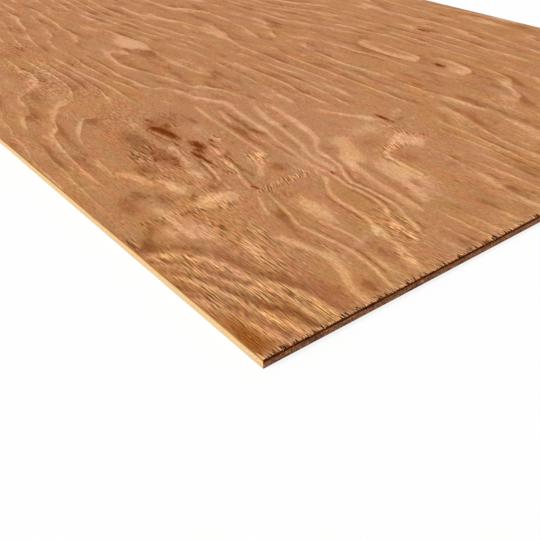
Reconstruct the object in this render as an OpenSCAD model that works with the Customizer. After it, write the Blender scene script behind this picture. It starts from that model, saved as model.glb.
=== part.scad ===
// Softwood plywood sheet: three rotary-cut veneers glued with their grain crossed.
// Millimetres. The origin is the centre of the underside, +X runs along the face grain, +Z is up.

/* [Sheet] */
// Length of the sheet, along the face grain
sheet_l = 2438; // [600:1:3660]
// Width of the sheet, across the face grain
sheet_w = 1219; // [300:1:1525]

/* [Veneers] */
// Thickness of the face veneer, grain along the length
face_t = 4.4; // [2.5:0.1:6]
// Thickness of the core veneer, grain across the length
core_t = 4.6; // [1.5:0.1:8]
// Thickness of the back veneer, grain along the length
back_t = 2.9; // [1.5:0.1:6]

/* [Torn cross-cut edges] */
// Distance between the places along a cross-cut edge where a splinter may have torn out
tear_pitch = 5; // [4:0.5:20]
// Share of those places that lost a splinter
tear_share = 0.6; // [0.1:0.05:1]
// Length of the longest torn splinter, along the grain
tear_l = 13; // [4:0.5:30]
// Width of the widest torn splinter
tear_w = 3; // [0.8:0.1:3.8]
// Depth of the deepest torn splinter, at the edge
tear_d = 2.4; // [0.5:0.1:2.4]
// Largest angle of a splinter to the length, with the slope of the grain
tear_skew = 4; // [0:0.5:8]

/* [Bruised corner] */
// Reach of the bruise along the length
bruise_l = 10; // [2:0.5:20]
// Reach of the bruise along the width
bruise_w = 3; // [1:0.1:10]
// Reach of the bruise down the corner
bruise_d = 0.9; // [0.5:0.1:2.4]

/* [Hidden] */

// Levels of the two glue lines and of the top of the sheet
core_z = back_t;
face_z = back_t + core_t;
top_z = back_t + core_t + face_t;

// How far a cutting solid runs out of the wood, so that its cut is clean
clear = 1;

// The smallest splinter, as a share of the largest
tear_least = 0.25;

// Repeatable scatter from 0 to 1 for a place and a trait
function scatter(place, trait) =
    let (wave = 4375.85 * sin(129.898 * place + 782.33 * trait))
    wave - floor(wave);

// A size between its smallest share and its largest value
function sized(largest, place, trait) =
    largest * (tear_least + (1 - tear_least) * scatter(place, trait));

// One veneer, centred on the sheet, with its lower face at level z
module veneer(z, thickness) {
    translate([-sheet_l / 2, -sheet_w / 2, z])
        cube([sheet_l, sheet_w, thickness]);
}

// The gap that a splinter leaves: parallel sides, and a floor that rises from depth d at the edge
// to the surface. The edge is at x = 0, the surface is at z = 0 and the gap runs towards -X.
module splinter_gap(l, w, d) {
    rotate([90, 0, 0])
        linear_extrude(w, center = true)
            polygon([
                [-l, 0],
                [clear, -d * (l + clear) / l],
                [clear, clear],
                [-l, clear]
            ]);
}

// Splinter gaps along the cross-cut edge at the +X end. The places keep clear of the corners.
module torn_edge(end) {
    places = floor(sheet_w / tear_pitch) - 1;
    first_y = -(places - 1) * tear_pitch / 2;
    for (i = [0 : places - 1]) {
        place = i + end * places;
        shift = (scatter(place, 5) - 0.5) * (tear_pitch - tear_w);
        skew = tear_skew * (2 * scatter(place, 6) - 1);
        if (scatter(place, 1) < tear_share)
            translate([sheet_l / 2, first_y + i * tear_pitch + shift, top_z])
                rotate([0, 0, skew])
                    splinter_gap(
                        l = sized(tear_l, place, 2),
                        w = sized(tear_w, place, 3),
                        d = sized(tear_d, place, 4)
                    );
    }
}

// The piece bruised off the front right corner of the face: all that lies beyond a slanting plane
module bruise() {
    outward = [1 / bruise_l, -1 / bruise_w, 1 / bruise_d];
    block = 3 * max(bruise_l, bruise_w, bruise_d);
    translate([sheet_l / 2, -sheet_w / 2, top_z])
        rotate([0, acos(outward.z / norm(outward)), atan2(outward.y, outward.x)])
            translate([-block / 2, -block / 2, -1 / norm(outward)])
                cube(block);
}

// Top veneer: the show face, torn where the saw crossed its grain
module face_veneer() {
    color([0.75, 0.53, 0.35])
        difference() {
            veneer(face_z, face_t);
            for (end = [0, 1])
                rotate([0, 0, 180 * end])
                    torn_edge(end);
            bruise();
        }
}

// Middle veneer: its grain crosses the length
module core_veneer() {
    color([0.86, 0.68, 0.48])
        veneer(core_z, core_t);
}

// Bottom veneer: its grain runs along the length again
module back_veneer() {
    color([0.78, 0.58, 0.4])
        veneer(0, back_t);
}

face_veneer();
core_veneer();
back_veneer();
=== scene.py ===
"""Looks of the plywood sheet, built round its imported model."""
import math

import bpy
import numpy as np
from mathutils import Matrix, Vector
from mathutils.geometry import delaunay_2d_cdt


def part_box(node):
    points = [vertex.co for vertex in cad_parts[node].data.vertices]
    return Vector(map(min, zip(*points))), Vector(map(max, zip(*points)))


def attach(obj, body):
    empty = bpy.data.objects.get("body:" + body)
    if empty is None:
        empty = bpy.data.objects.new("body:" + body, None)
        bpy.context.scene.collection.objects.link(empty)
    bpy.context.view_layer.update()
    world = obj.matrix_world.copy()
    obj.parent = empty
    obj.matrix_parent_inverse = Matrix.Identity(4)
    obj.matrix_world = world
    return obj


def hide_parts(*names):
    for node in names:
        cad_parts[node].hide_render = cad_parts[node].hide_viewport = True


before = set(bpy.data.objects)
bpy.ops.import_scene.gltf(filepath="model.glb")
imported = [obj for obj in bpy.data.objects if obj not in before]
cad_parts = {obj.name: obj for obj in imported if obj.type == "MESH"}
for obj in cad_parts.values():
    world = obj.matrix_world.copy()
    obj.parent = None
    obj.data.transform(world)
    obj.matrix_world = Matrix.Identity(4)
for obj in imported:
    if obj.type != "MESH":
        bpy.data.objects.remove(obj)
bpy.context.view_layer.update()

MM = 0.001
FACE_LOW, FACE_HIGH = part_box("face_veneer")
CORE_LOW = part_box("core_veneer")[0]
SHEET_L = (FACE_HIGH.x - FACE_LOW.x) / MM
SHEET_W = (FACE_HIGH.y - FACE_LOW.y) / MM
GLUE_Z = FACE_LOW.z / MM
TOP_Z = FACE_HIGH.z / MM

# Torn cross-cut edges and the bruised corner, in millimetres and degrees, as in the part's source
TEAR_PITCH = 5.0
TEAR_SHARE = 0.6
TEAR_L = 13.0
TEAR_W = 3.0
TEAR_D = 2.4
TEAR_SKEW = 4.0
TEAR_LEAST = 0.25
BRUISE_L = 10.0
BRUISE_W = 3.0
BRUISE_D = 0.9

# Added before a count is cut to a whole number, as the frame's sizes are rounded
ROUNDING = 1e-6


# Figure of the face where the photograph shows it, drawn as listed. u is the distance from the near
# end along the grain, v the distance from the near long edge across it, both in millimetres.

# Corners of the part of the face that is drawn, and the width over which it ends
SEEN = [(-100, 111), (-100, -100), (88, -100), (655, 215), (345, 610)]
SEEN_FADE = 50.0

# Growth rings: shade (pale above 0, dark below), fade to the right and left of the line, points (u, v)
BANDS = [
    (0.36, 10, 4, [(0, 36), (30, 30), (60, 23), (90, 16), (110, 8), (126, -2)]),
    (-0.36, 4, 8, [(8, 45), (40, 37), (70, 30), (100, 24), (130, 13), (150, 0)]),
    (0.42, 8, 4, [(0, 60), (28, 54), (46, 46), (80, 40), (104, 35), (130, 27), (152, 19), (175, 8),
        (190, -2)]),
    (-0.5, 3, 8, [(8, 71), (44, 65), (62, 54), (80, 47), (110, 41), (132, 34), (152, 26), (168, 16),
        (188, 2)]),
    (0.36, 7, 4, [(92, 66), (120, 52), (142, 43), (162, 36), (182, 25), (198, 10), (206, 0)]),
    (-0.36, 3, 6, [(104, 67), (132, 52), (152, 44), (168, 38), (184, 29), (202, 15), (212, 2)]),
    (0.44, 9, 4, [(88, 79), (112, 73), (142, 67), (162, 63), (178, 57), (192, 47), (206, 36), (216, 22),
        (224, 6)]),
    (-0.34, 3, 16, [(92, 91), (120, 82), (150, 76), (176, 70), (196, 59), (210, 49), (220, 40), (228, 24),
        (236, 6)]),
    (0.5, 8, 3, [(0, 102), (40, 102), (64, 99), (80, 92), (96, 85)]),
    (-0.32, 3, 10, [(4, 112), (40, 108), (70, 103), (86, 97), (102, 90)]),
    (-0.35, 3, 6, [(4, 74), (46, 70), (60, 76)]),
    (0.4, 5, 3, [(12, 84), (50, 82), (78, 80)]),
    (-0.26, 14, 8, [(236, 16), (256, 26), (268, 33), (276, 46), (279, 62)]),
    (0.5, 4, 5, [(228, 71), (260, 71), (290, 72)]),
    (-0.5, 2, 2, [(186, 110), (215, 112), (237, 110)]),
    (0.42, 4, 10, [(0, 144), (24, 143), (45, 150), (60, 159), (80, 167), (100, 168), (122, 163),
        (146, 155), (162, 149)]),
    (-0.38, 6, 6, [(112, 177), (130, 173), (152, 173), (180, 179), (202, 186)]),
    (0.5, 3, 2.2, [(0, 184), (20, 186), (40, 193), (60, 196), (80, 198.5), (110, 198), (130, 194.5),
        (160, 191), (172, 190.5), (186, 194), (202, 199), (222, 204), (246, 209), (262, 213)]),
    (-0.28, 2, 3, [(28, 199), (50, 202), (80, 205), (110, 204), (140, 201), (170, 201), (190, 208),
        (216, 212)]),
    (0.35, 3, 3, [(86, 221), (112, 224), (136, 221), (162, 218)]),
    (0.36, 6, 6, [(28, 238), (58, 251), (86, 255), (107, 261)]),
    (0.5, 3, 3, [(304, 181), (325, 183), (345, 187), (362, 192), (382, 197), (400, 199)]),
    (-0.4, 2.5, 3, [(344, 183), (362, 187), (382, 190), (398, 192)]),
    (0.35, 4, 4, [(218, 178), (236, 184), (247, 190), (262, 196)]),
    (0.5, 4, 4, [(288, 203), (310, 208), (330, 214), (350, 222), (372, 225)]),
    (-0.38, 3, 3, [(318, 229), (350, 230), (382, 233), (396, 236)]),
    (-0.5, 1.8, 1.8, [(366, 114), (398, 115)]),
    (-0.45, 1.8, 1.8, [(382, 109), (426, 108)]),
    (0.4, 6, 7, [(400, 176), (416, 179), (440, 184), (456, 190), (476, 192)]),
    (0.36, 6, 7, [(464, 185), (486, 179), (520, 181), (562, 186), (600, 190)]),
    (0.6, 2.5, 2.5, [(498, 203), (530, 200), (548, 198)]),
    (0.5, 2.5, 4.5, [(94, 249), (106, 258), (120, 265), (140, 269), (162, 270.5), (186, 271), (206, 276),
        (220, 283), (236, 294), (246, 302)]),
    (-0.32, 2.5, 2, [(132, 262), (166, 264), (192, 266), (210, 270)]),
    (0.5, 3, 3, [(58, 278), (80, 284), (102, 288), (120, 296), (132, 302)]),
    (0.5, 3, 3, [(72, 299), (90, 305), (106, 312), (120, 319), (136, 323), (162, 325), (190, 325),
        (214, 322), (230, 328), (246, 336), (262, 346), (290, 352), (312, 355)]),
    (0.45, 3, 3, [(130, 304), (150, 311), (166, 314), (190, 315), (210, 312), (230, 315), (252, 318)]),
    (-0.32, 3, 3, [(150, 305), (172, 308), (202, 307)]),
    (-0.28, 2, 2, [(146, 318), (190, 320), (216, 317)]),
    (-0.14, 4, 4, [(140, 331), (180, 333), (214, 330), (236, 339), (252, 347)]),
    (0.4, 7, 8, [(310, 238), (326, 248), (338, 260)]),
    (0.46, 4, 6, [(362, 284), (392, 289), (420, 291), (442, 294), (470, 297), (502, 300), (545, 304),
        (590, 312)]),
    (0.3, 4, 4, [(276, 297), (300, 292), (318, 297)]),
    (0.3, 4.5, 6, [(246, 302), (268, 306), (288, 309), (340, 310), (380, 312), (424, 317), (440, 319)]),
    (-0.35, 2.5, 2.5, [(330, 316), (360, 317.5), (384, 317)]),
    (0.34, 4.5, 6, [(256, 317), (284, 316), (318, 320), (346, 325), (380, 328), (402, 333), (424, 341),
        (450, 344)]),
    (0.42, 5, 5, [(498, 319), (520, 325), (546, 334)]),
    (0.44, 6, 6, [(440, 344), (464, 346), (490, 350), (522, 354), (550, 360), (600, 370)]),
    (-0.35, 5, 5, [(470, 331), (520, 336), (556, 342)]),
    (0.45, 8, 4, [(104, 340), (140, 345), (170, 349), (200, 352), (230, 360), (262, 366)]),
    (-0.32, 3, 6, [(112, 349), (140, 354), (166, 362), (190, 367), (220, 371), (254, 374)]),
    (0.4, 5, 7, [(118, 361), (140, 371), (164, 380), (186, 394)]),
    (0.68, 4, 2, [(172, 419), (200, 421.5), (220, 423), (242, 424)]),
    (0.36, 6, 6, [(242, 425), (253, 433), (262, 448), (270, 464), (282, 486), (290, 500)]),
    (0.4, 20, 18, [(262, 376), (284, 388), (303, 398), (326, 408)]),
    (0.42, 5, 7, [(300, 352), (320, 356), (334, 363), (350, 376), (366, 388), (390, 394), (412, 398)]),
    (0.44, 7, 7, [(396, 396), (420, 401), (440, 407), (470, 410), (510, 417), (560, 428), (620, 436)]),
    (0.36, 5, 7, [(262, 332), (290, 331), (314, 335), (338, 342), (356, 350), (376, 356), (400, 361),
        (424, 368), (446, 371)]),
    (0.36, 7, 8, [(446, 371), (470, 374), (500, 384), (540, 398), (590, 408)]),
    (-0.22, 4, 4, [(352, 342), (390, 349), (420, 355), (450, 360), (490, 366), (530, 378)]),
    (0.36, 4, 8, [(446, 471), (420, 481), (398, 495), (376, 508), (362, 519)]),
    (0.36, 9, 8, [(436, 84), (410, 98), (385, 110), (362, 122), (345, 132)]),
    (0.2, 6, 6, [(344, 545), (358, 560), (366, 578)]),
]
# Oval marks of the figure, each with a value, u, v and half sizes along and across

# Pale places above 0, dark ones below
PLACES = [
    (-0.4, 490, 158, 70, 36), (-0.35, 530, 208, 50, 22), (-0.12, 430, 290, 160, 45),
    (-0.18, 300, 210, 60, 25), (0.15, 275, 222, 12, 24), (0.15, 277, 272, 12, 32),
    (0.15, 310, 490, 80, 60), (-0.3, 342, 50, 40, 25), (0.25, 150, 400, 60, 40), (-0.2, 570, 250, 50, 40),
    (0.3, 255, 54, 24, 9), (0.36, 313, 71, 22, 11), (0.4, 234, 88, 34, 15), (0.3, 290, 82, 18, 10),
    (0.25, 150, 112, 30, 10), (-0.3, 368, 74, 14, 10), (-0.25, 335, 95, 30, 14), (1.0, 244, 105, 5, 1.8),
    (-0.32, 277, 106, 13, 9), (-0.25, 60, 128, 72, 13), (-0.4, 24, 166, 17, 12), (0.35, 168, 112, 14, 13),
    (0.3, 36, 208, 26, 8), (-0.3, 60, 228, 28, 8), (0.35, 18, 234, 22, 9), (0.55, 186, 233, 44, 15),
    (0.9, 291, 150, 17, 30), (0.45, 352, 121, 28, 9), (-0.38, 322, 166, 24, 10), (0.45, 368, 168, 26, 12),
    (-0.45, 208, 190, 15, 7), (0.7, 372, 225, 14, 5), (-0.2, 245, 225, 18, 12), (0.3, 392, 98, 24, 8),
    (-0.35, 426, 118, 20, 11), (-0.4, 428, 164, 26, 8), (-0.22, 520, 162, 50, 12),
    (-0.22, 136, 245, 28, 13), (0.3, 104, 256, 9, 8), (-0.12, 190, 292, 44, 12), (0.5, 358, 264, 17, 19),
    (-0.2, 420, 301, 50, 6), (-0.32, 316, 274, 16, 16), (0.42, 420, 234, 24, 7), (0.45, 458, 262, 20, 8),
    (0.32, 508, 262, 24, 13), (-0.42, 538, 274, 13, 4), (-0.45, 441, 328, 24, 6), (-0.3, 450, 309, 14, 5),
    (-0.25, 478, 308, 28, 8), (-0.3, 510, 314, 15, 4), (-0.38, 166, 391, 15, 7), (0.44, 206, 400, 30, 22),
    (-0.32, 222, 446, 30, 15), (0.3, 280, 380, 20, 14), (-0.36, 298, 440, 18, 24), (0.3, 274, 482, 14, 20),
    (-0.32, 316, 372, 17, 12), (-0.25, 385, 445, 16, 5), (0.14, 336, 470, 30, 40),
    (0.45, 258, 500, 16, 14), (-0.35, 306, 508, 8, 18), (0.3, 376, 506, 16, 7), (0.2, 325, 563, 9, 10),
    (-0.35, 335, 550, 12, 14),
]
# Tone of the wood: olive above 0, pink below
TONES = [
    (0.8, 426, 118, 22, 12), (0.6, 190, 234, 40, 14), (0.5, 245, 155, 28, 16), (0.8, 480, 308, 32, 9),
    (0.5, 130, 258, 16, 10), (0.5, 45, 50, 24, 8), (0.5, 195, 45, 18, 12), (0.6, 158, 6, 14, 7),
    (0.5, 315, 262, 18, 14), (0.6, 545, 226, 12, 8), (0.5, 320, 415, 18, 12), (0.4, 20, 102, 24, 5),
    (0.6, 30, 14, 24, 10), (0.5, 265, 450, 10, 14), (-0.5, 232, 90, 32, 16), (-0.6, 168, 112, 14, 13),
    (-0.6, 30, 36, 30, 8), (-0.5, 110, 15, 24, 8), (-0.5, 20, 146, 30, 8), (-0.6, 395, 262, 26, 18),
    (-0.6, 410, 435, 40, 18), (-0.6, 320, 372, 18, 12), (-0.5, 290, 220, 8, 8), (-0.5, 255, 268, 18, 14),
    (-0.5, 392, 550, 14, 14), (-0.5, 345, 85, 18, 8), (-0.4, 390, 197, 16, 4), (-0.4, 60, 228, 28, 8),
    (0.6, 508, 200, 20, 10), (0.5, 369, 229, 16, 8), (0.7, 337, 270, 14, 12), (-0.5, 556, 281, 40, 20),
    (0.5, 370, 154, 24, 8), (-0.5, 372, 167, 26, 12), (-0.7, 480, 340, 200, 170),
    (-0.4, 260, 420, 120, 140), (0.9, 286, 392, 30, 20), (0.7, 206, 402, 30, 22),
    (-0.45, 1500, 650, 1100, 800),
]
# Torn grain
TORN = [
    (0.2, 90, 45, 130, 62), (0.25, 180, 118, 110, 34), (0.15, 390, 135, 110, 44), (0.25, 90, 280, 60, 30),
    (0.12, 420, 215, 80, 44), (0.5, 262, 455, 16, 34), (0.4, 290, 505, 30, 18), (0.6, 468, 134, 26, 15),
    (0.75, 84, 64, 20, 10), (0.75, 152, 59, 11, 6), (0.8, 64, 90, 14, 7), (0.7, 30, 97, 34, 4),
    (0.6, 108, 75, 26, 4), (0.6, 130, 108, 34, 11), (0.6, 92, 10, 18, 6), (0.5, 70, 18, 12, 3),
    (0.6, 40, 25, 18, 2.5), (0.7, 42, 47, 20, 5), (0.6, 70, 75, 20, 4), (0.5, 120, 20, 40, 10),
    (0.45, 165, 30, 30, 16), (0.8, 188, 42, 12, 7), (0.55, 212, 18, 12, 12), (0.7, 258, 6, 20, 4),
    (0.6, 291, 48, 6, 14), (0.6, 291, 70, 6, 12), (0.6, 288, 91, 6, 12), (0.5, 275, 79, 16, 4),
    (0.5, 212, 112, 30, 7), (0.5, 280, 112, 7, 14), (0.45, 279, 138, 6, 12), (0.6, 190, 138, 24, 12),
    (0.6, 122, 125, 22, 5), (0.5, 125, 134, 16, 4), (0.4, 45, 236, 20, 8), (0.35, 118, 181, 14, 5),
    (0.5, 275, 222, 9, 22), (0.5, 268, 150, 9, 14), (0.4, 325, 149, 20, 3), (0.5, 345, 212, 12, 8),
    (0.4, 385, 114, 18, 5), (0.4, 490, 160, 14, 8), (0.85, 84, 282, 24, 9), (0.4, 110, 300, 30, 8),
    (0.5, 276, 268, 9, 34), (0.85, 362, 272, 20, 15), (0.5, 385, 235, 16, 4), (0.35, 455, 258, 30, 14),
    (0.4, 550, 240, 20, 8), (0.45, 228, 418, 18, 4), (0.5, 252, 440, 8, 14), (0.35, 325, 508, 14, 10),
    (0.3, 310, 535, 12, 8),
]
# Smooth grain
CALM = [
    (0.8, 230, 81, 30, 14), (0.8, 263, 130, 24, 16), (0.7, 226, 45, 36, 10), (0.7, 330, 50, 30, 22),
    (0.7, 48, 177, 24, 12), (0.6, 75, 222, 26, 14), (0.6, 126, 228, 30, 10), (0.7, 226, 454, 32, 20),
    (0.7, 300, 441, 24, 22), (0.6, 420, 430, 70, 34), (0.7, 480, 250, 60, 20), (0.6, 150, 245, 44, 16),
    (0.6, 190, 290, 56, 14), (0.5, 560, 300, 70, 40), (0.6, 340, 330, 70, 40), (0.6, 180, 160, 44, 16),
    (0.45, 300, 400, 140, 120), (0.4, 150, 330, 100, 40), (0.5, 380, 112, 44, 16),
]
# Dark marks of pitch and small knots
PITCH_MARKS = [
    (1.0, 516, 215, 28, 7.5), (1.0, 534, 212, 18, 9), (1.0, 547, 209, 15, 10), (0.6, 548, 228, 12, 9),
    (0.6, 583, 217, 16, 4), (0.95, 452, 226, 24, 9), (0.75, 436, 217, 18, 7), (0.95, 402, 206, 34, 3.4),
    (0.95, 424, 206, 20, 5), (0.7, 472, 202, 16, 2.4), (0.6, 447, 151, 11, 8), (0.5, 412, 164, 18, 6),
    (0.6, 433, 173, 15, 8), (0.5, 440, 160, 12, 6), (0.65, 472, 158, 9, 4), (0.45, 492, 158, 20, 3),
    (0.85, 455, 253, 12, 2.4), (0.75, 437, 244, 16, 2.2), (0.65, 464, 266, 10, 2.4),
    (0.75, 386, 236, 16, 2.2), (0.5, 402, 246, 12, 2.4), (0.5, 443, 328, 18, 6), (0.5, 309, 124, 13, 5.5),
    (0.5, 320, 131, 9, 5.5), (0.6, 253, 323, 11, 4), (0.3, 260, 310, 12, 9), (0.42, 427, 379, 13, 10),
    (1.0, 357, 529, 14, 4.5), (0.5, 338, 528, 20, 8), (0.5, 366, 520, 9, 6), (0.55, 268, 529, 7, 4),
    (0.45, 275, 79, 18, 2.2), (0.5, 272, 101, 16, 2.4), (0.65, 287, 209, 9, 4), (0.45, 343, 212, 11, 5),
    (0.85, 4, 166, 11, 2.4), (0.4, 356, 78, 10, 10), (0.4, 62, 56, 9, 5),
]
# Orange-brown water stain, mostly near the edges
STAINS = [
    (0.95, 27, 9, 60, 14.5), (0.5, 10, 20, 18, 11), (0.38, 130, 0, 200, 7), (0.5, 248, 18, 16, 6),
    (0.35, 155, 6, 24, 7), (0.45, 62, 55, 10, 5), (0.3, 30, 72, 26, 5), (0.08, 90, 45, 130, 60),
    (0.35, 407, 198, 18, 6), (0.3, 326, 180, 18, 7), (0.35, 453, 315, 20, 5),
]
# Pale scuff across the grain: ends (u, v) and half width
SCUFF = [(84, 182), (108, 264)]
SCUFF_W = 3.5


def ease(x, low, high):
    """Smooth step from 0 at low to 1 at high."""
    t = np.clip((x - low) / (high - low), 0, 1)
    return t * t * (3 - 2 * t)


def waves(u, v, length_u, length_v, seed, count=48):
    """Seeded smooth random field of unit spread, with the given sizes along and across the grain."""
    rng = np.random.default_rng(seed)
    along = rng.normal(0, 1 / length_u, count)
    across = rng.normal(0, 1 / length_v, count)
    phase = rng.uniform(0, 2 * math.pi, count)
    total = np.zeros(u.shape)
    for k, m, p in zip(along, across, phase):
        total += np.cos(k * u + m * v + p)
    return total * math.sqrt(2 / count)


def drawn_share(u, v):
    """1 where the figure is drawn, falling to 0 on the rest of the sheet."""
    inside = np.full(np.shape(u), np.inf)
    for (u0, v0), (u1, v1) in zip(SEEN, SEEN[1:] + SEEN[:1]):
        run = math.hypot(u1 - u0, v1 - v0)
        inside = np.minimum(inside, ((u1 - u0) * (v - v0) - (v1 - v0) * (u - u0)) / run)
    return ease(inside, -SEEN_FADE, 0)


def line_gap(u, v, points):
    """Distance to a line through the points, above 0 on its left."""
    best = np.full(u.shape, np.inf)
    side = np.zeros(u.shape)
    for (u0, v0), (u1, v1) in zip(points[:-1], points[1:]):
        du, dv = u1 - u0, v1 - v0
        t = np.clip(((u - u0) * du + (v - v0) * dv) / (du * du + dv * dv), 0, 1)
        gap = np.hypot(u - u0 - t * du, v - v0 - t * dv)
        closer = gap < best
        best = np.where(closer, gap, best)
        side = np.where(closer, np.sign(du * (v - v0) - dv * (u - u0)), side)
    return best * side


def oval_sum(u, v, marks):
    """Sum of a set of soft oval marks."""
    total = np.zeros(u.shape)
    for value, cu, cv, ru, rv in marks:
        total += value * np.exp(-((u - cu) / ru) ** 2 - ((v - cv) / rv) ** 2)
    return total


# How fast an oval mark fades from its middle, and the edge power of a mark with a crisp rim
MARK_FADE = 0.9
CRISP = 3.0


def strongest(u, v, marks, edge=2.0):
    """Strongest of a set of oval marks at each place."""
    best = np.zeros(u.shape)
    for strength, cu, cv, ru, rv in marks:
        r = np.hypot((u - cu) / ru, (v - cv) / rv)
        best = np.maximum(best, strength * np.exp(-MARK_FADE * r ** edge))
    return best


# Fainter rings beside each thin pale ring: share of its shade, distance to its left and fade
ECHOES = [(-0.3, 6, 2.6), (0.22, 12, 3.4), (-0.15, 18, 4), (-0.26, -6.5, 3), (0.2, -13, 3.5)]
ECHO_BELOW = 4.5
ECHO_REACH = 28.0
ECHO_WANDER = 0.22
# Reach of any other ring, in times its fade
RING_REACH = 3

# How strongly the pale and the dark parts of the drawn figure show
PALE_DEPTH, DARK_DEPTH = 0.95, 0.9


def drawn_shade(u, v):
    """Shade of the drawn figure, from -1 to 1."""
    total = oval_sum(u, v, PLACES)
    wander = 1 + ECHO_WANDER * waves(u, v, 60, 30, seed=16)
    for shade, fade_right, fade_left, points in BANDS:
        widest = max(fade_right, fade_left)
        thin = shade > 0 and widest < ECHO_BELOW
        reach = ECHO_REACH if thin else RING_REACH * widest
        low, high = np.min(points, axis=0) - reach, np.max(points, axis=0) + reach
        near = np.flatnonzero((u > low[0]) & (u < high[0]) & (v > low[1]) & (v < high[1]))
        gap = line_gap(u[near], v[near], points)
        total[near] += shade * np.exp(-((gap / np.where(gap < 0, fade_right, fade_left)) ** 2))
        if thin:
            for share, at, fade in ECHOES:
                total[near] += shade * share * np.exp(-(((gap * wander[near] - at) / fade) ** 2))
    return np.clip(total * np.where(total > 0, PALE_DEPTH, DARK_DEPTH), -1, 1)


# Figure of the rest of the face: ring numbers, fibre directions and seeded marks

# Rings for each millimetre across the sheet, and the waves that bend them: depth in rings,
# sizes along and across the grain, seed
RING_RISE = 0.024
RING_WAVES = [(1.7, 420, 110, 11), (0.55, 190, 55, 12), (0.10, 70, 16, 13), (0.05, 30, 7, 14)]


def ring_field(u, v):
    """Ring number at each place of the face."""
    bends = [depth * waves(u, v, along, across, seed) for depth, along, across, seed in RING_WAVES]
    return RING_RISE * v + sum(bends)


# Slope of the fibres across the grain at distances u, and the distances v between which it sets in
FIBRE_U = [0, 110, 190, 230, 270, 300, 350, 420, 620, 1200, 1800, 2600]
FIBRE_SLOPE = [-0.05, -0.02, 0.04, 0.26, 0.40, 0.24, 0.12, 0.08, 0.05, -0.03, 0.04, -0.05]
FIBRE_FROM, FIBRE_FULL = 110, 240
FIBRE_STEPS = np.arange(0, FIBRE_U[-1] + 1.0)
FIBRE_DRIFT = np.cumsum(np.interp(FIBRE_STEPS, FIBRE_U, FIBRE_SLOPE))


def fibre_drift(u, v):
    """How far a fibre has moved across the sheet at u."""
    return np.interp(u, FIBRE_STEPS, FIBRE_DRIFT) * ease(v, FIBRE_FROM, FIBRE_FULL)


def fibre_slope(u, v):
    return np.interp(u, FIBRE_U, FIBRE_SLOPE) * ease(v, FIBRE_FROM, FIBRE_FULL)


def far_pitch(count, seed):
    """Seeded pitch marks for the part of the sheet that the photograph doesn't show."""
    rng = np.random.default_rng(seed)
    marks = []
    while len(marks) < count:
        u, v = rng.uniform(0, SHEET_L), rng.uniform(0, SHEET_W)
        if drawn_share(u, v) == 0:
            marks.append((rng.uniform(0.4, 1), u, v, rng.uniform(10, 42), rng.uniform(2.5, 8)))
    return marks


FAR_PITCH = far_pitch(count=26, seed=21)

# Torn grain where the ring number changes along a fibre: the change for each millimetre from which
# it starts and is full, the step of the test, and the strength
CHANGE_FROM, CHANGE_FULL = 0.010, 0.035
CHANGE_STEP = 4.0
CHANGE_TORN = 0.8


def rough_field(u, v):
    """How torn the grain is, from 0 to 1: as drawn, and elsewhere where the rings cross the fibres."""
    along, across = CHANGE_STEP, CHANGE_STEP * fibre_slope(u, v)
    change = np.abs(ring_field(u + along, v + across) - ring_field(u - along, v - across))
    patches = ease(waves(u, v, 60, 25, seed=15), -0.2, 1.2)
    crossing = CHANGE_TORN * ease(change / (2 * CHANGE_STEP), CHANGE_FROM, CHANGE_FULL) * patches
    return np.maximum(crossing * (1 - drawn_share(u, v)), strongest(u, v, TORN, CRISP))


# Face veneer

def scatter(place, trait):
    """Repeatable scatter from 0 to 1, as in the part's source."""
    wave = 4375.85 * math.sin(math.radians(129.898 * place + 782.33 * trait))
    return wave - math.floor(wave)


def sized(largest, place, trait):
    return largest * (TEAR_LEAST + (1 - TEAR_LEAST) * scatter(place, trait))


def splinter_gaps(end):
    """Gaps along a cross-cut edge: distance across the end, length, width, depth and skew."""
    places = int(SHEET_W / TEAR_PITCH + ROUNDING) - 1
    first = -(places - 1) * TEAR_PITCH / 2
    gaps = []
    for i in range(places):
        place = i + end * places
        if scatter(place, 1) < TEAR_SHARE:
            y = first + i * TEAR_PITCH + (scatter(place, 5) - 0.5) * (TEAR_PITCH - TEAR_W)
            length = sized(TEAR_L, place, 2)
            width = sized(TEAR_W, place, 3)
            depth = sized(TEAR_D, place, 4)
            skew = TEAR_SKEW * (2 * scatter(place, 6) - 1)
            gaps.append((y, length, width, depth, skew))
    return gaps


def spaced(*runs):
    """Values along a side from runs of (end, step)."""
    values = [0.0]
    for end, step in runs:
        count = max(1, round((end - values[-1]) / step))
        values += list(np.linspace(values[-1], end, count + 1)[1:])
    return np.array(values)


# Width of the strip along each cross-cut edge, and the distances of its points from the edge
STRIP = 18.0
STRIP_STEPS = (4.5, 9.0, 13.5)

# Grid of points between the strips, fine over the drawn part and coarse beyond it
FINE_U, FINE_V = 640, 610
ROWS = spaced((FINE_V, 2.1), (SHEET_W, 6.0))
COLUMNS = STRIP + spaced((FINE_U, 5.5), (SHEET_L - 2 * STRIP, 20.0))

# Section of a gap at the edge: shares of its half width and of its depth
GAP_SECTION = [(-1, 0), (-0.65, 1), (0.55, 0.9), (1, 0)]
# Room that a strip's other points leave beside a gap, beyond its tip and beside the bruise
GAP_BESIDE, GAP_BEYOND, BRUISE_BESIDE = 0.35, 0.8, 0.4

# Triangulation: its kind of result, and the distance at which two points are one
ALL_TRIANGLES, SAME_POINT = 0, 1e-5


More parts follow.
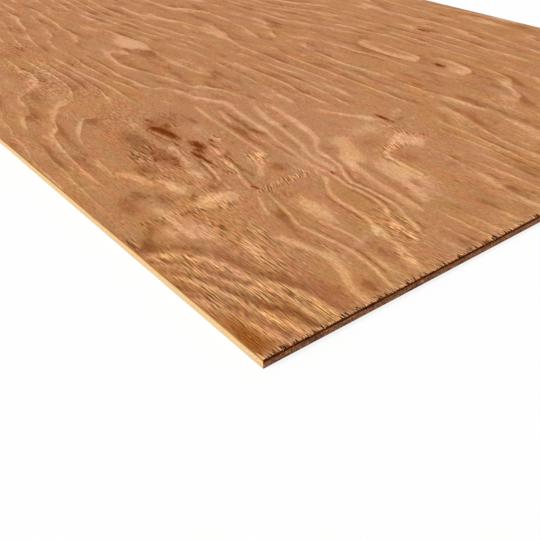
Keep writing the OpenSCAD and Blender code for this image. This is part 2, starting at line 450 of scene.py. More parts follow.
def end_strip(end):
    """Plan points, their drops, triangles and side lines of the strip along a cross-cut edge.
    The points are (distance from the edge, distance across), in the frame of that end."""
    points, drops, edges = [], [], []

    def add(e, v, drop=0.0):
        points.append((e, v))
        drops.append(drop)
        return len(points) - 1

    bruised = end == 0
    rim = [(0.0, add(0, 0, BRUISE_D if bruised else 0)), (SHEET_W, add(0, SHEET_W))]
    taken = []
    for y, length, width, depth, skew in splinter_gaps(end):
        v = y + SHEET_W / 2
        half = width / 2
        tip = add(length * math.cos(math.radians(skew)), v - length * math.sin(math.radians(skew)))
        for across, down in GAP_SECTION:
            corner = add(0, v + across * half, down * depth)
            rim.append((points[corner][1], corner))
            edges.append((corner, tip))
        taken.append((v, half + GAP_BESIDE, length, -math.tan(math.radians(skew))))
    taken = np.array(taken)

    def free(e, v):
        near = np.abs(v - taken[:, 0] - taken[:, 3] * e) < taken[:, 1]
        return not np.any(near & (e < taken[:, 2] + GAP_BEYOND))

    if bruised:
        rim.append((BRUISE_W, add(0, BRUISE_W)))
    for v in ROWS[1:-1]:
        if free(0, v) and not (bruised and abs(v - BRUISE_W) < BRUISE_BESIDE):
            rim.append((v, add(0, v)))
        for e in STRIP_STEPS:
            if free(e, v):
                add(e, v)
    rim.sort()
    rim = [index for _, index in rim]
    inner = [add(STRIP, v) for v in ROWS]
    near_side = [rim[0], *[add(e, 0.0) for e in STRIP_STEPS], inner[0]]
    far_side = [rim[-1], *[add(e, SHEET_W) for e in STRIP_STEPS], inner[-1]]
    lines = (rim, inner, near_side, far_side)
    for line in lines:
        edges += list(zip(line[:-1], line[1:]))
    if bruised:
        edges.append((near_side[2], [i for i in rim if points[i][1] == BRUISE_W][0]))
    made = delaunay_2d_cdt([Vector(p) for p in points], edges, [], ALL_TRIANGLES, SAME_POINT)
    corners, _, triangles, sources, _, _ = made
    plan = np.array([tuple(p) for p in corners])
    drop = np.zeros(len(plan))
    index = {}
    for new, olds in enumerate(sources):
        for old in olds:
            drop[new] = max(drop[new], drops[old])
            index[old] = new
    if bruised:
        slope = BRUISE_D * (1 - plan[:, 0] / BRUISE_L - plan[:, 1] / BRUISE_W)
        drop = np.maximum(drop, slope)
    return plan, drop, triangles, [[index[i] for i in line] for line in lines]


# Numbers of the face veneer's two materials
TOP, SAWN = 0, 1


def face_arrays():
    """Corner places (u, v), drops, outline, faces and material numbers of the face veneer."""
    rows, columns = len(ROWS), len(COLUMNS)
    grid_u, grid_v = np.meshgrid(COLUMNS, ROWS, indexing="ij")
    uv = [np.stack([grid_u.ravel(), grid_v.ravel()], -1)]
    drops = [np.zeros(rows * columns)]
    cell = (np.arange(columns - 1)[:, None] * rows + np.arange(rows - 1)[None]).ravel()
    quads = np.stack([cell, cell + 1, cell + rows + 1, cell + rows], -1)
    faces = [tuple(q) for q in quads.tolist()]
    count = rows * columns
    outlines = []
    for end in (0, 1):
        plan, drop, triangles, (rim, inner, near_side, far_side) = end_strip(end)
        place = [SHEET_L, SHEET_W] - plan if end else plan
        keep = np.ones(len(plan), bool)
        keep[inner] = False
        ids = count + np.cumsum(keep) - 1
        ids[inner] = (columns - 1) * rows + np.arange(rows)[::-1] if end else np.arange(rows)
        uv.append(place[keep])
        drops.append(drop[keep])
        count += int(keep.sum())
        for t in triangles:
            a, b, c = (ids[i] for i in t)
            p, q, r = (plan[i] for i in t)
            turn = (q[0] - p[0]) * (r[1] - p[1]) - (q[1] - p[1]) * (r[0] - p[0])
            faces.append((a, b, c) if turn < 0 else (a, c, b))
        outlines.append([[ids[i] for i in line] for line in (rim, near_side, far_side)])
    kinds = [TOP] * len(faces)
    (rim_0, near_0, far_0), (rim_1, far_1, near_1) = outlines
    near = near_0 + [c * rows for c in range(1, columns)] + near_1[::-1][1:]
    far = far_0 + [c * rows + rows - 1 for c in range(1, columns)] + far_1[::-1][1:]
    loop = near + rim_1[::-1][1:] + far[::-1][1:] + rim_0[::-1][1:-1]
    low = {v: count + i for i, v in enumerate(loop)}
    for i, a in enumerate(loop):
        b = loop[(i + 1) % len(loop)]
        faces.append((a, b, low[b], low[a]))
        kinds.append(SAWN)
    faces.append(tuple(low[v] for v in loop))
    kinds.append(TOP)
    return np.concatenate(uv), np.concatenate(drops), np.array(loop), faces, kinds


# Depth of the peeled surface: everywhere, more in pale wood and more where the grain is torn
RELIEF_LEAST, RELIEF_PALE, RELIEF_TORN = 0.05, 0.02, 0.2


def relief(u, v, shade, rough):
    """How far the peeled surface lies below the flat of the sheet, in millimetres."""
    fibre = v - fibre_drift(u, v)
    torn = np.abs(waves(u, fibre, 22, 2.6, seed=31)) * rough
    return RELIEF_LEAST + RELIEF_PALE * ease(shade, 0, 0.8) + RELIEF_TORN * torn


SHARP_ANGLE = math.radians(35)


def add_object(name, data):
    made = bpy.data.objects.new(name, data)
    bpy.context.scene.collection.objects.link(made)
    return made


def new_piece(name, places, faces, kinds, materials, values):
    mesh = bpy.data.meshes.new(name)
    mesh.from_pydata(places.tolist(), [], faces)
    for material in materials:
        mesh.materials.append(material)
    mesh.polygons.foreach_set("material_index", kinds)
    for key, array in values.items():
        layer = mesh.attributes.new(key, "FLOAT", "POINT")
        layer.data.foreach_set("value", array.astype(np.float32))
    mesh.validate()
    mesh.shade_smooth()
    mesh.set_sharp_from_angle(angle=SHARP_ANGLE)
    piece = add_object(name, mesh)
    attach(piece, "root")
    return piece


def to_row(u, v, z):
    """Millimetres on the sheet to metres in the row frame."""
    return np.stack([FACE_HIGH.x - u * MM, FACE_LOW.y + v * MM, z * MM], -1)


# Materials

def linear(*screen):
    """A colour written as red, green and blue from 0 to 255 on screen, as linear light."""
    shares = [c / 255 for c in screen]
    return (*[c / 12.92 if c <= 0.04045 else ((c + 0.055) / 1.055) ** 2.4 for c in shares], 1.0)


# Sheen of raw wood, and how far the lines of a comb wander
WOOD_SHEEN = 0.012
COMB_WANDER = 18.0


class Graph:
    """Short calls for building the node tree of a material or a world."""

    def __init__(self, owner):
        self.owner = owner
        owner.use_nodes = True
        self.tree = owner.node_tree
        self.tree.nodes.clear()

    def node(self, kind, **settings):
        made = self.tree.nodes.new("ShaderNode" + kind)
        for key, value in settings.items():
            setattr(made, key, value)
        return made

    def feed(self, socket, value):
        if isinstance(value, bpy.types.NodeSocket):
            self.tree.links.new(value, socket)
        elif value is not None:
            socket.default_value = value

    def fed(self, made, *values):
        """First output of a node whose inputs take the values in turn."""
        for socket, value in zip(made.inputs, values):
            self.feed(socket, value)
        return made.outputs[0]

    def fill(self, kind, inputs):
        """First output of a new node whose inputs take the values by name."""
        made = self.node(kind)
        for name, value in inputs.items():
            self.feed(made.inputs[name], value)
        return made.outputs[0]

    def math(self, operation, *values):
        return self.fed(self.node("Math", operation=operation), *values)

    def add(self, a, b):
        return self.math("ADD", a, b)

    def less(self, a, b):
        return self.math("SUBTRACT", a, b)

    def times(self, a, b):
        return self.math("MULTIPLY", a, b)

    def times_add(self, a, by, plus):
        return self.math("MULTIPLY_ADD", a, by, plus)

    def blend(self, share, a, b):
        """Number that goes from a to b."""
        return self.fed(self.node("Mix", data_type="FLOAT"), share, None, a, b)

    def span(self, value, low, high, out_low=0.0, out_high=1.0):
        """Smooth step from out_low at low to out_high at high."""
        made = self.node("MapRange", interpolation_type="SMOOTHSTEP")
        return self.fed(made, value, low, high, out_low, out_high)

    def mix(self, share, a, b, blend="MIX"):
        """Colour that goes from a to b."""
        made = self.node("Mix", data_type="RGBA", blend_type=blend)
        self.feed(made.inputs[0], share)
        self.feed(made.inputs[6], a)
        self.feed(made.inputs[7], b)
        return made.outputs[2]

    def tint(self, colour, by):
        return self.mix(1.0, colour, by, "MULTIPLY")

    def attribute(self, name):
        return self.node("Attribute", attribute_name=name).outputs["Fac"]

    def place(self, x, y):
        return self.fed(self.node("CombineXYZ"), x, y)

    def parts(self, vector):
        made = self.node("SeparateXYZ")
        self.feed(made.inputs[0], vector)
        return made.outputs

    def noise(self, vector, sizes, detail=2.0, rough=0.5):
        """Noise from 0 to 1, with so many swings to the metre along each axis."""
        stretch = self.node("VectorMath", operation="MULTIPLY")
        spot = self.fed(stretch, vector, (*sizes, 0.0, 0.0)[:3])
        inputs = {"Vector": spot, "Scale": 1.0, "Detail": detail, "Roughness": rough}
        return self.fill("TexNoise", inputs)

    def swing(self, vector, sizes, detail=2.0, rough=0.5):
        """Noise that swings about 0."""
        return self.less(self.noise(vector, sizes, detail, rough), 0.5)

    def comb(self, grain, period, sizes):
        """Fine lines along the grain, from -1 to 1, that wander a little."""
        wander = self.times(self.noise(grain, sizes, 1.0), COMB_WANDER)
        return self.math("SINE", self.times_add(self.parts(grain)[1], 2 * math.pi / period, wander))

    def ramp(self, share, stops):
        made = self.node("ValToRGB")
        elements = made.color_ramp.elements
        while len(elements) < len(stops):
            elements.new(0.5)
        for element, (at, colour) in zip(elements, stops):
            element.position = at
            element.color = colour
        return self.fed(made, share)

    def bump(self, height, distance, strength=1.0):
        return self.fill("Bump", {"Strength": strength, "Distance": distance, "Height": height})

    def shader(self, kind, *values):
        return self.fed(self.node(kind), *values)

    def show(self, shader, output="OutputMaterial"):
        self.feed(self.node(output).inputs[0], shader)
        return self.owner

    def wood(self, colour, roughness, normal):
        inputs = {"Base Color": colour, "Roughness": roughness, "Normal": normal}
        inputs["Specular IOR Level"] = WOOD_SHEEN
        return self.show(self.fill("BsdfPrincipled", inputs))


WHITE = (1, 1, 1, 1)

# Colours of the face from its darkest shade to its palest, and tints of its fine lines,
# which in torn grain are partly painted shade and highlight
FACE_SHADES = [
    (0.0, linear(132, 74, 36)), (0.25, linear(164, 106, 66)), (0.5, linear(188, 131, 87)),
    (0.75, linear(213, 156, 110)), (1.0, linear(235, 184, 138)),
]
LINE_TINTS = [(0.1, (0.44, 0.37, 0.30, 1)), (0.5, WHITE), (0.9, (1.6, 1.55, 1.48, 1))]
PINK, OLIVE = (0.99, 1.015, 1.17, 1), (0.99, 1.005, 0.84, 1)
REDDER, GREENER = (1.03, 0.96, 0.96, 1), (0.97, 1.04, 1.0, 1)

# Colours of its marks
# Painted shade in torn grooves, and paler torn wood with painted highlight on raised fibres
GROOVE_SHADE, RAISED_HIGHLIGHT = linear(108, 52, 18), linear(250, 196, 134)
STAIN = (0.56, 0.36, 0.13, 1)
HALO, THIN_RESIN, THICK_RESIN = linear(154, 88, 40), linear(146, 76, 26), linear(104, 40, 2)
SCUFFED = linear(226, 184, 148)
# Pale fibre ends, painted shade of the gaps between them and of small notches, and torn-out gap floors of
# dark end grain and painted shade
FIBRE_ENDS, END_GAP_SHADE = linear(236, 186, 146), linear(84, 38, 12)
NOTCH_SHADE, TORN_OUT_GRAIN_AND_SHADE = linear(52, 18, 3), linear(48, 16, 2)
BARE_DARK, BARE_PALE = linear(220, 164, 106), linear(248, 202, 146)


def face_figure(g, grain, fray):
    """Rings of the drawn part and of the rest, dark below 0 and pale above."""
    part = g.math("FRACT", g.times_add(fray, 0.35, g.attribute("ring")))
    bold = g.noise(grain, (4, 16))
    slope = g.times(g.less(part, 0.55), g.span(bold, 0.30, 0.65, 0.10, 0.42))
    peak = g.times(g.span(part, 0.70, 0.92), g.span(part, 1.0, 0.96))
    rings = g.add(g.times(peak, g.span(bold, 0.36, 0.66, 0.04, 0.26)), slope)
    rings = g.times_add(g.swing(grain, (11, 42)), 1.1, rings)
    vary = g.span(g.noise(grain, (15, 40)), 0.32, 0.68, 0.8, 1.2)
    return g.blend(g.attribute("drawn"), rings, g.times(g.attribute("shade"), vary))


def figure_colour(g, grain, figure, fray):
    """Colour of the figure, with crisp frayed edges, mottling and changes of tone."""
    frayed = g.add(figure, fray)
    crisp = g.less(g.span(frayed, 0.12, 0.30), g.span(frayed, -0.12, -0.30))
    shade = g.add(g.times(figure, 0.6), g.add(g.times(crisp, 0.34), g.times(fray, 0.5)))
    shade = g.times_add(g.swing(grain, (16, 70), 3.0, 0.6), 0.4, shade)
    colour = g.ramp(g.times_add(shade, 0.5, 0.5), FACE_SHADES)
    tone = g.times_add(g.swing(grain, (80, 260), 1.0), 2.2, g.attribute("tone"))
    tone = g.times_add(g.swing(grain, (7, 22)), 3.2, tone)
    colour = g.tint(colour, g.mix(g.span(tone, -1, 1), PINK, OLIVE))
    warm = g.span(g.noise(grain, (13, 52)), 0.3, 0.7)
    return g.tint(colour, g.mix(warm, REDDER, GREENER))


def face_marks(g, grain, colour, ragged, streak):
    """Stains, pitch and the scuff."""
    colour = g.mix(g.attribute("stain"), colour, g.tint(colour, STAIN))
    lump = g.swing(grain, (120, 280), 2.0, 0.6)
    pitch = g.attribute("pitch")
    halo = g.span(g.add(pitch, g.times(ragged, 0.9)), 0.08, 0.7)
    mark = g.span(g.add(pitch, g.add(g.times(ragged, 1.2), g.times(lump, 1.5))), 0.32, 0.62)
    colour = g.mix(g.times(halo, 0.6), colour, HALO)
    thick = g.span(g.add(pitch, g.add(ragged, streak)), 0.35, 0.9)
    colour = g.mix(g.times(mark, 0.9), colour, g.mix(thick, THIN_RESIN, THICK_RESIN))
    scuff = g.times(g.attribute("scuff"), g.span(ragged, -0.15, 0.15, 0.08, 0.42))
    return g.mix(scuff, colour, SCUFFED)


def face_ends(g, grain, colour):
    """Pale fibre ends along the cross-cut edges, painted shade in the gaps and notches between them, and
    torn-out gap floors of dark end grain and painted shade.
    """
    cut = g.attribute("cut")
    tick = g.noise(grain, (60, 700), 1.0)
    cluster = g.span(g.noise(grain, (0, 60), 2.0, 0.6), 0.40, 0.58, 0.6, 1.0)
    colour = g.mix(g.times(g.span(tick, 0.51, 0.60), cut), colour, FIBRE_ENDS)
    # Painted shade between the fibre ends
    colour = g.mix(g.times(g.span(tick, 0.47, 0.38), g.times(cut, 0.75)), colour, END_GAP_SHADE)
    # Painted shade of small notches, in clusters
    notch = g.times(g.noise(grain, (70, 430), 1.0), cluster)
    notch = g.span(g.add(notch, g.times(cut, 0.14)), 0.575, 0.635)
    colour = g.mix(g.times(notch, g.span(cut, 0.25, 0.6)), colour, NOTCH_SHADE)
    # Floors of the torn-out gaps: dark end grain and painted shade, darker where deeper
    return g.mix(g.times(g.attribute("tear"), 0.95), colour, TORN_OUT_GRAIN_AND_SHADE)


def face_material():
    g = Graph(bpy.data.materials.new("face_wood"))
    torn_at = g.attribute("rough")
    spot = g.parts(g.node("TexCoord").outputs["Object"])
    grain = g.place(spot[0], g.attribute("fibre"))
    ragged = g.swing(grain, (42, 330), 3.0, 0.65)
    streak = g.swing(grain, (70, 660), 0.0, 0.6)

    # Edges of the rings are frayed along the fibres, more where the grain is busy or torn
    fray = g.times(g.swing(grain, (45, 600), 2.0, 0.6), 0.9)
    fray = g.add(fray, g.times(g.swing(grain, (24, 160), 1.0), 0.6))
    busy = g.span(g.noise(grain, (9, 34)), 0.38, 0.62, 0.4, 1.55)
    busy = g.times(busy, g.less(1.0, g.attribute("calm")))
    fray = g.times(fray, g.times_add(torn_at, 0.85, g.times(busy, 0.48)))
    figure = face_figure(g, grain, fray)
    colour = figure_colour(g, grain, figure, fray)

    # Cut cells and short fibres, also bumped; in torn grain their dark and pale streaks are partly painted
    # shade and highlight of the torn fibres
    fibres = g.times(streak, g.times_add(torn_at, 2.6, g.times(busy, 0.44)))
    hatch = g.add(g.comb(grain, 3.1 * MM, (30, 150)), g.comb(grain, 4.7 * MM, (22, 110)))
    hatch = g.times(hatch, g.times(g.span(ragged, -0.07, 0.09), torn_at))
    fibres = g.times_add(hatch, 1.05, fibres)
    lines = g.add(g.times_add(g.swing(grain, (150, 680), 1.0), 0.7, 0.5), fibres)
    colour = g.tint(colour, g.ramp(lines, LINE_TINTS))

    # Torn grain: grooves and raised fibres, bumped, with painted shade in the grooves and a pale colour on
    # the raised fibres that is partly paler torn wood and partly painted highlight
    pull = g.times_add(figure, -0.11, g.noise(grain, (30, 560), 0.5))
    torn = g.span(torn_at, 0.08, 0.7)
    groove = g.times(g.span(pull, 0.55, 0.59), torn)
    rise = g.times(g.span(pull, 0.47, 0.43), torn)
    colour = g.mix(g.times(groove, 0.62), colour, GROOVE_SHADE)
    colour = g.mix(g.times(rise, 0.6), colour, RAISED_HIGHLIGHT)

    colour = face_ends(g, grain, face_marks(g, grain, colour, ragged, streak))
    bare = g.mix(g.span(lines, 0.3, 0.7), BARE_DARK, BARE_PALE)
    colour = g.mix(g.attribute("fresh"), colour, bare)
    height = g.add(g.times(lines, 0.25), g.times(rise, 0.5))
    normal = g.bump(g.less(height, g.times(groove, 0.8)), 1.1 * MM)
    return g.wood(colour, 0.7, normal)


def shades(dark, middle, light):
    """Colour ramp stops of a streaked wood."""
    return [(0.32, linear(*dark)), (0.5, linear(*middle)), (0.68, linear(*light))]


# Colours of the sawn edges along the length and across it
CUT_LONG = {
    "face": shades((206, 162, 106), (226, 187, 134), (238, 204, 154)),
    "core": shades((198, 158, 106), (223, 188, 138), (234, 204, 160)),
    "back": shades((190, 162, 122), (214, 191, 155), (228, 208, 178)),
}
CUT_ACROSS = {
    "face": shades((70, 24, 4), (116, 46, 12), (146, 76, 32)),
    "core": shades((150, 88, 54), (200, 134, 94), (220, 164, 126)),
    "back": shades((144, 100, 76), (194, 146, 118), (212, 172, 144)),
}
UNEVEN_TINTS = [(0.35, (0.5, 0.46, 0.42, 1)), (0.5, WHITE), (0.66, (1.35, 1.32, 1.3, 1))]
SAW_TINTS = [(0.34, (0.5, 0.46, 0.43, 1)), (0.5, WHITE), (0.66, (1.5, 1.5, 1.5, 1))]
SOAKED = shades((120, 76, 36), (156, 106, 58), (178, 128, 76))
# Pale fibre ends that hang over the face's cut, and painted contact shade for the bottom of the cross-cut
# edges
HANGING_TIPS, PAINTED_CONTACT_SHADE = linear(222, 166, 118), linear(70, 50, 40)
FLAT_BACK = [(0.0, linear(170, 112, 70)), (0.7, linear(198, 142, 94)), (0.95, linear(218, 166, 116)),
             (1.0, linear(180, 122, 78))]
GLUE_COLOUR = linear(120, 74, 40)
GLUE_LEVELS = {"face": [FACE_LOW.z], "core": [FACE_LOW.z, CORE_LOW.z], "back": [CORE_LOW.z]}
GLUE_HALF = 0.35 * MM


def face_rim(g, spot, z, along_mix, along, across):
    """Edges of the face veneer, stained from its top and with fibre ends that hang over the cut."""
    below = g.less(TOP_Z * MM, z)
    reach = g.times_add(g.noise(spot, (40,)), 1.6 * MM, 1.9 * MM)
    soaked = g.span(g.less(below, reach), 0.4 * MM, -0.4 * MM)
    along = g.mix(soaked, along, g.ramp(along_mix, SOAKED))
    hang = g.less(g.times_add(g.noise(spot, (0, 560), 1.0), 6 * MM, -2.1 * MM), below)
    across = g.mix(g.span(hang, -0.1 * MM, 0.3 * MM), across, HANGING_TIPS)
    return along, across


def back_flat(g, spot, streak):
    """Underside of the sheet."""
    ring = g.times_add(g.parts(spot)[1], 16.0, g.times(g.noise(spot, (0.9, 4.0)), 14.0))
    ring = g.math("FRACT", g.times_add(streak, 0.5, ring))
    return g.mix(0.35, g.ramp(ring, FLAT_BACK), g.ramp(streak, CUT_ACROSS["core"]))


def edge_material(ply, fibre_axis):
    """Sawn edges and flat faces of a veneer whose fibres run along fibre_axis."""
    g = Graph(bpy.data.materials.new(ply + "_edge"))
    spot = g.node("TexCoord").outputs["Object"]
    z = g.parts(spot)[2]
    facing = g.parts(g.node("NewGeometry").outputs["Normal"])

    def faces(axis):
        return g.math("GREATER_THAN", g.math("ABSOLUTE", facing[axis]), 0.5)

    streak = g.noise(spot, (9, 260, 800) if fibre_axis == 0 else (260, 9, 800), 3.0, 0.62)
    pore = g.noise(spot, (420, 420, 700), 2.0, 0.6)
    end_mix = g.add(g.times(streak, 0.25), g.times(pore, 0.75))
    long_mix = g.add(g.times(streak, 0.8), g.times(pore, 0.2))
    across_mix, along_mix = (end_mix, long_mix) if fibre_axis == 0 else (long_mix, end_mix)
    along = g.ramp(along_mix, CUT_LONG[ply])
    across = g.ramp(across_mix, CUT_ACROSS[ply])
    across = g.tint(across, g.ramp(g.noise(spot, (30, 45, 120), 3.0, 0.6), UNEVEN_TINTS))
    across = g.tint(across, g.ramp(g.noise(spot, (0, 440, 300), 1.0), SAW_TINTS))
    if ply == "face":
        along, across = face_rim(g, spot, z, along_mix, along, across)
    if ply == "back":
        # Painted contact shade: the cross-cut edge darkens towards its bottom, where the sheet meets the
        # floor
        across = g.mix(g.span(z, 1.5 * MM, 0.6 * MM, 0, 0.65), across, PAINTED_CONTACT_SHADE)
    colour = g.mix(faces(0), along, across)
    for level in GLUE_LEVELS[ply]:
        gap = g.math("ABSOLUTE", g.less(z, level))
        colour = g.mix(g.span(gap, GLUE_HALF, 0, 0, 0.45), colour, GLUE_COLOUR)
    if ply == "back":
        colour = g.mix(faces(2), colour, back_flat(g, spot, streak))
    normal = g.bump(g.add(streak, pore), 0.5 * MM, 0.6)
    return g.wood(colour, 0.75, normal)


# Pieces

FACE_WOOD = face_material()
# How far the marks of the saw reach in from a cross-cut edge
CUT_REACH = 6.5
# Depths between which a gap's floor turns dark, partly as end grain and partly as painted shade
DARK_FROM, DARK_FULL = 0.45, 1.4
# The bruise, counted as 1 at the corner and 0 at its rim: how fresh its wood looks, where that starts
# and is full, and up to where a gap turns dark
BRUISE_FRESH = 0.85
FRESH_FROM, FRESH_FULL, DARK_UNTIL = -0.4, 0.1, 0.02


def surface_values(u, v, rough):
    """What the face's material reads at each place."""
    edge = np.maximum(np.minimum(u, SHEET_L - u), 0)
    return {
        "ring": ring_field(u, v),
        "drawn": drawn_share(u, v),
        "shade": drawn_shade(u, v),
        "tone": oval_sum(u, v, TONES),
        "rough": rough,
        "calm": strongest(u, v, CALM, CRISP),
        "pitch": strongest(u, v, PITCH_MARKS + FAR_PITCH),
        "stain": strongest(u, v, STAINS),
        "scuff": np.exp(-((line_gap(u, v, SCUFF) / SCUFF_W) ** 2)),
        "cut": np.exp(-((edge / CUT_REACH) ** 1.5)),
        "tear": np.zeros(u.shape),
        "fibre": (v - fibre_drift(u, v)) * MM,
    }


def make_face():
    uv, drops, loop, faces, kinds = face_arrays()
    u, v = uv.T
    rough = rough_field(u, v)
    values = surface_values(u, v, rough)
    bruise = 1 - u / BRUISE_L - v / BRUISE_W
    values["tear"] = ease(drops, DARK_FROM, DARK_FULL) * (bruise < DARK_UNTIL)
    values["fresh"] = BRUISE_FRESH * ease(bruise, FRESH_FROM, FRESH_FULL)
    z = TOP_Z - np.maximum(drops, relief(u, v, values["shade"], rough))
    low = to_row(u[loop], v[loop], np.full(len(loop), GLUE_Z))
    places = np.concatenate([to_row(u, v, z), low])
    values = {key: np.concatenate([array, array[loop]]) for key, array in values.items()}
    materials = [FACE_WOOD, edge_material("face", 0)]
    piece = new_piece("face_veneer_wood", places, faces, kinds, materials, values)
    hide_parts("face_veneer")


# A raised fibre is a low ridge: two pointed ends, two sides and a crest, sunk into the surface
RIDGE_FACES = np.array([(0, 2, 4), (0, 4, 3), (1, 4, 2), (1, 3, 4), (0, 3, 2), (1, 2, 3)])
RIDGE_CORNERS = 5
RIDGE_SUNK = 0.35


def ridge_piece(name, corners, fresh):
    """Joined mesh of ridges from their corners (ridge, corner, (u, v, z)) and how fresh each one is."""
    first = RIDGE_CORNERS * np.arange(len(corners))
    faces = (RIDGE_FACES[None] + first[:, None, None]).reshape(-1, 3)
    u, v, z = corners.reshape(-1, 3).T
    values = surface_values(u, v, rough_field(u, v))
    values["fresh"] = np.repeat(fresh, RIDGE_CORNERS)
    values["cut"] = np.zeros(u.shape)
    new_piece(name, to_row(u, v, z), faces.tolist(), [TOP] * len(faces), [FACE_WOOD], values)


def ridges(u, v, slope, shape):
    """Corners of ridges along the fibres, from each corner's distances (along, across, up)."""
    corners = [np.stack([u + along, v + along * slope + across, TOP_Z + up + 0 * u], -1)
               for along, across, up in shape]
    return np.stack(corners, 1)


# Raised fibres: tries for each one, share of them in the drawn part, its reach along and across,
# the room to the edges, and the likeliest length with its spread
TRIES_EACH = 20
NEAR_SHARE = 0.66
NEAR_U, NEAR_V = 640, 560
FIBRE_ROOM = 0.3
FIBRE_LENGTH, FIBRE_SPREAD = 11, 0.45


def make_fibres(count, seed):
    """Raised bundles of torn fibres, along the grain in the rough places."""
    rng = np.random.default_rng(seed)
    tries = TRIES_EACH * count
    near = rng.random(tries) < NEAR_SHARE
    u = np.where(near, rng.uniform(0, NEAR_U, tries), rng.uniform(0, SHEET_L, tries))
    v = np.where(near, rng.uniform(0, NEAR_V, tries), rng.uniform(0, SHEET_W, tries))
    rough = rough_field(u, v)
    chance = 0.3 * rough ** 1.5 + 0.002
    chosen = np.flatnonzero(rng.random(tries) < chance)[:count]
    u, v, rough = u[chosen], v[chosen], rough[chosen]
    n = len(u)
    length = np.exp(rng.normal(math.log(FIBRE_LENGTH), FIBRE_SPREAD, n))
    width = rng.uniform(0.35, 0.8, n)
    height = rng.uniform(0.08, 0.2, n) + 0.4 * rough * rng.random(n) ** 2
    slope = fibre_slope(u, v) + rng.normal(0, 0.025, n)
    crest = rng.uniform(-0.25, 0.25, n) * length
    lean = rng.normal(0, 0.3, n) * width
    corners = ridges(u, v, slope, [
        (-length / 2, 0, -RIDGE_SUNK),
        (length / 2, 0, -RIDGE_SUNK),
        (crest, -width / 2, -RIDGE_SUNK),
        (crest, width / 2, -RIDGE_SUNK),
        (crest, lean, height),
    ])
    plan = corners[:, :, :2]
    inside = (plan > FIBRE_ROOM) & (plan < np.array([SHEET_L, SHEET_W]) - FIBRE_ROOM)
    inside = inside.all(axis=(1, 2))
    ridge_piece("torn_fibres", corners[inside], rng.uniform(0, 0.6, n)[inside])


# Splinter ends: room to the corners of the sheet, distances of their sides and crest from the edge,
# and how deep those sides are sunk
SPLINTER_ROOM = 8
SPLINTER_SIDES, SPLINTER_CREST = 0.4, 0.9
SPLINTER_SUNK = RIDGE_SUNK + 0.3


def make_splinters(count, seed):
    """Pale splinter ends that stand out over the cross-cut edges, between their gaps."""
    rng = np.random.default_rng(seed)
    ends = []
    for end in (0, 1):
        gaps = np.array(splinter_gaps(end))
        v = rng.uniform(SPLINTER_ROOM, SHEET_W - SPLINTER_ROOM, count)
        width = rng.uniform(0.7, 1.6, count)
        beside = np.abs(v[:, None] - gaps[None, :, 0] - SHEET_W / 2) - gaps[None, :, 2] / 2
        clear = beside.min(axis=1) > width / 2
        inner = rng.uniform(3, 11, count)
        proud = rng.uniform(0.2, 1.5, count)
        height = rng.uniform(0.1, 0.45, count)
        droop = rng.uniform(0.2, 1.0, count)
        slope = rng.normal(0, 0.05, count)
        corners = ridges(0 * v, v, slope, [
            (inner, 0, -RIDGE_SUNK),
            (-proud, 0, -droop),
            (SPLINTER_SIDES, -width / 2, -SPLINTER_SUNK),
            (SPLINTER_SIDES, width / 2, -SPLINTER_SUNK),
            (SPLINTER_CREST, 0, height),
        ])[clear]
        if end:
            corners = np.concatenate([[SHEET_L, SHEET_W] - corners[:, :, :2], corners[:, :, 2:]], -1)
        else:
            corners = corners[:, [1, 0, 2, 3, 4]]
        ends.append(corners)
    corners = np.concatenate(ends)
    ridge_piece("edge_splinters", corners, rng.uniform(0.35, 0.95, len(corners)))


make_face()
make_fibres(count=24000, seed=41)
make_splinters(count=420, seed=42)
for ply, fibre_axis in (("core", 1), ("back", 0)):
    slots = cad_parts[ply + "_veneer"].data.materials
    slots.clear()
    slots.append(edge_material(ply, fibre_axis))


# Floor, light and camera

FLOOR_HALF = 30.0
FLOOR_DROP = 0.2 * MM
FLOOR_GREY, FLOOR_PALE = (0.42, 0.42, 0.42, 1), (0.95, 0.95, 0.95, 1)
FLOOR_GLOW = 0.84
FILL_COLOUR, FILL_STRENGTH = (0.96, 0.98, 1.0, 1), 0.42
KEY_COLOUR, KEY_STRENGTH = (1.0, 0.975, 0.94), 3.4
KEY_ANGLE = math.radians(9)
KEY_TOWARD = Vector((-0.22, -0.80, 0.56))
# The camera's place from the near corner of the underside, in metres, and the way it looks
CAMERA_FROM_CORNER = Vector((0.398, -0.307, 0.450))
CAMERA_LOOK = Vector((-0.6509, 0.5159, -0.5561))
CAMERA_LENS = 46.74
CAMERA_NEAR, CAMERA_FAR = 0.01, 200


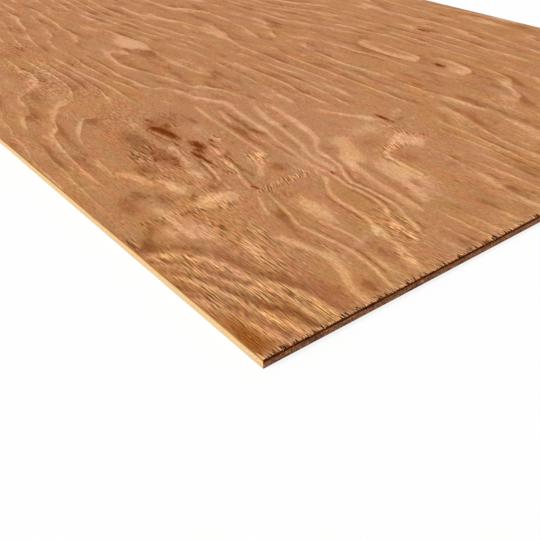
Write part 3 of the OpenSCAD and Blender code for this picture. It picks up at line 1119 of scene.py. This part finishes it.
def aim(thing, way, axis):
    """Turn a thing so that its axis points the given way."""
    thing.rotation_mode = "QUATERNION"
    thing.rotation_quaternion = way.to_track_quat(axis, "Y")


def seen_ray(g):
    """1 for a ray that shows the background: straight, mirrored or through glass."""
    rays = g.node("LightPath").outputs
    seen = g.math("MAXIMUM", rays["Is Camera Ray"], rays["Is Glossy Ray"])
    return g.math("MAXIMUM", seen, rays["Is Transmission Ray"])


def make_floor():
    """Floor that shows white and lights the sheet as a grey one does."""
    mesh = bpy.data.meshes.new("floor")
    corners = [(-1, -1), (1, -1), (1, 1), (-1, 1)]
    mesh.from_pydata([(x * FLOOR_HALF, y * FLOOR_HALF, 0) for x, y in corners], [], [(0, 1, 2, 3)])
    floor = add_object("floor", mesh)
    floor.location.z = -FLOOR_DROP
    g = Graph(bpy.data.materials.new("floor_paint"))
    grey = g.shader("BsdfDiffuse", FLOOR_GREY)
    pale = g.shader("BsdfDiffuse", FLOOR_PALE)
    glow = g.shader("Emission", WHITE, 1.0)
    white = g.shader("MixShader", FLOOR_GLOW, pale, glow)
    mesh.materials.append(g.show(g.shader("MixShader", seen_ray(g), grey, white)))


def make_world():
    g = Graph(bpy.data.worlds.new("studio"))
    fill = g.shader("Background", FILL_COLOUR, FILL_STRENGTH)
    white = g.shader("Background", WHITE, 1.0)
    both = g.shader("MixShader", seen_ray(g), fill, white)
    bpy.context.scene.world = g.show(both, "OutputWorld")


def make_key():
    lamp = bpy.data.lights.new("key", "SUN")
    lamp.energy = KEY_STRENGTH
    lamp.angle = KEY_ANGLE
    lamp.color = KEY_COLOUR
    aim(add_object("key", lamp), KEY_TOWARD, "Z")


def make_camera():
    lens = bpy.data.cameras.new("camera")
    lens.lens = CAMERA_LENS
    lens.clip_start = CAMERA_NEAR
    lens.clip_end = CAMERA_FAR
    camera = add_object("camera", lens)
    camera.location = Vector((FACE_HIGH.x, FACE_LOW.y, 0)) + CAMERA_FROM_CORNER
    aim(camera, CAMERA_LOOK, "-Z")
    bpy.context.scene.camera = camera


make_floor()
make_world()
make_key()
make_camera()
bpy.context.scene.view_settings.view_transform = "Standard"
